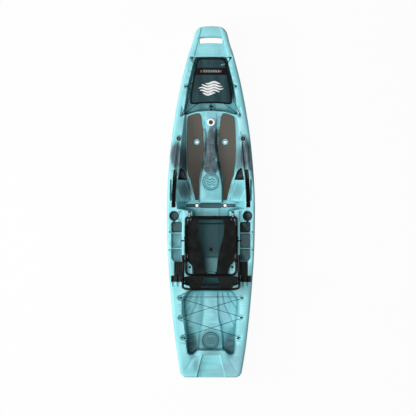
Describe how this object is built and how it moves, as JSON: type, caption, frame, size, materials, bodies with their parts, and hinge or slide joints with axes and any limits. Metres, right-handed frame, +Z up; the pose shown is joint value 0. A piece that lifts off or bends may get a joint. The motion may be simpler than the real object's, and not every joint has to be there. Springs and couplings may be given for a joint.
{
  "type": "fishing kayak",
  "caption": "Sit-on-top fishing kayak with a folding framed seat, bow well cover, tackle trays, rod troughs, corded tank well and side carry handles.",
  "frame": {"origin": "middle of the hull's length and beam, on the ground plane that the keel and sponsons rest on", "axes": "+Y points to the bow along the hull, +Z is up, +X is to the paddler's right; the hull is the same on both sides of the YZ plane"},
  "size_m": [0.88, 3.51, 0.73],
  "materials": {
    "hull": "marbled aqua and grey polyethylene, satin",
    "foot_pad": "closed-cell foam, matt",
    "cover_mesh": "dark mesh with a black bound edge",
    "shock_cord": "braided cover",
    "black_nylon": "moulded nylon, satin",
    "white_nylon": "moulded nylon, satin",
    "brass_insert": "dull",
    "black_rubber": "matt",
    "frame_tube": "black powder coat, satin",
    "sling_cloth": "woven panels with mesh centres",
    "webbing": "flat webbing",
    "bolt_steel": "satin",
    "tan_nylon": "moulded nylon, satin"
  },
  "bodies": {
    "hull": {"hull": "hull", "foot_pad_left": "foot_pad", "foot_pad_right": "foot_pad", "bow_cover": "cover_mesh", "bow_cover_cord": "shock_cord", "stern_cord": "shock_cord", "bow_hook_front_left": "black_nylon", "bow_hook_front_right": "black_nylon", "bow_hook_mid_left": "black_nylon", "bow_hook_mid_right": "black_nylon", "bow_hook_rear_left": "black_nylon", "bow_hook_rear_right": "black_nylon", "stern_hook_front_left": "black_nylon", "stern_hook_front_right": "black_nylon", "stern_hook_mid_left": "black_nylon", "stern_hook_mid_right": "black_nylon", "stern_hook_rear_left": "black_nylon", "stern_hook_rear_right": "black_nylon", "cord_lock_body": "black_nylon", "side_mount_cup_left": "black_nylon", "side_mount_cup_right": "black_nylon", "side_mount_insert_left": "brass_insert", "side_mount_insert_right": "brass_insert", "center_mount_cup": "black_nylon", "center_mount_insert": "brass_insert", "center_mount_ring": "white_nylon", "rod_trough_left": "black_rubber", "rod_trough_right": "black_rubber", "rod_pad_left": "black_rubber", "rod_pad_right": "black_rubber", "rod_rest_left": "black_nylon", "rod_rest_right": "black_nylon", "seat_bracket_left": "black_nylon", "seat_bracket_right": "black_nylon", "seat_foot_front_left": "black_nylon", "seat_foot_front_right": "black_nylon", "seat_foot_rear_left": "black_nylon", "seat_foot_rear_right": "black_nylon", "floor_plug_ring": "tan_nylon", "floor_plug": "black_rubber", "scupper_plug_left": "black_rubber", "scupper_plug_right": "black_rubber", "drain_plug_socket": "black_nylon", "drain_plug": "black_nylon", "carry_saddle_left_front": "black_nylon", "carry_saddle_left_rear": "black_nylon", "carry_saddle_right_front": "black_nylon", "carry_saddle_right_rear": "black_nylon"},
    "seat_base": {"seat_frame": "frame_tube", "seat_sling": "sling_cloth", "back_pivot_bolt_left": "bolt_steel", "back_pivot_bolt_right": "bolt_steel", "recline_strap_left": "webbing", "recline_strap_right": "webbing"},
    "seat_back": {"back_frame": "frame_tube", "back_sling": "sling_cloth"},
    "handle_left": {"carry_handle_left": "black_rubber"},
    "handle_right": {"carry_handle_right": "black_rubber"},
    "cord_lock_button": {"cord_lock_plunger": "black_nylon"}
  },
  "joints": [
    {"name": "seat_flip", "type": "hinge", "parent": "hull", "child": "seat_base", "pos_m": [0, -0.152, 0.3305], "axis": [-1, 0, 0], "range_deg": [0, 70]},
    {"name": "back_fold", "type": "hinge", "parent": "seat_base", "child": "seat_back", "pos_m": [0, -0.542, 0.3305], "axis": [-1, 0, 0], "range_deg": [0, 116], "deforming": ["recline_strap_left", "recline_strap_right"]},
    {"name": "carry_handle_left_swing", "type": "hinge", "parent": "hull", "child": "handle_left", "pos_m": [-0.4253, -0.388, 0.262], "axis": [0, 1, 0], "range_deg": [0, 110]},
    {"name": "carry_handle_right_swing", "type": "hinge", "parent": "hull", "child": "handle_right", "pos_m": [0.4253, -0.388, 0.262], "axis": [0, -1, 0], "range_deg": [0, 110]},
    {"name": "cord_lock_press", "type": "slide", "parent": "hull", "child": "cord_lock_button", "axis": [-1, 0, 0], "range_m": [0, 0.005], "stiffness_N_per_m": 300, "springref_m": -0.005}
  ]
}
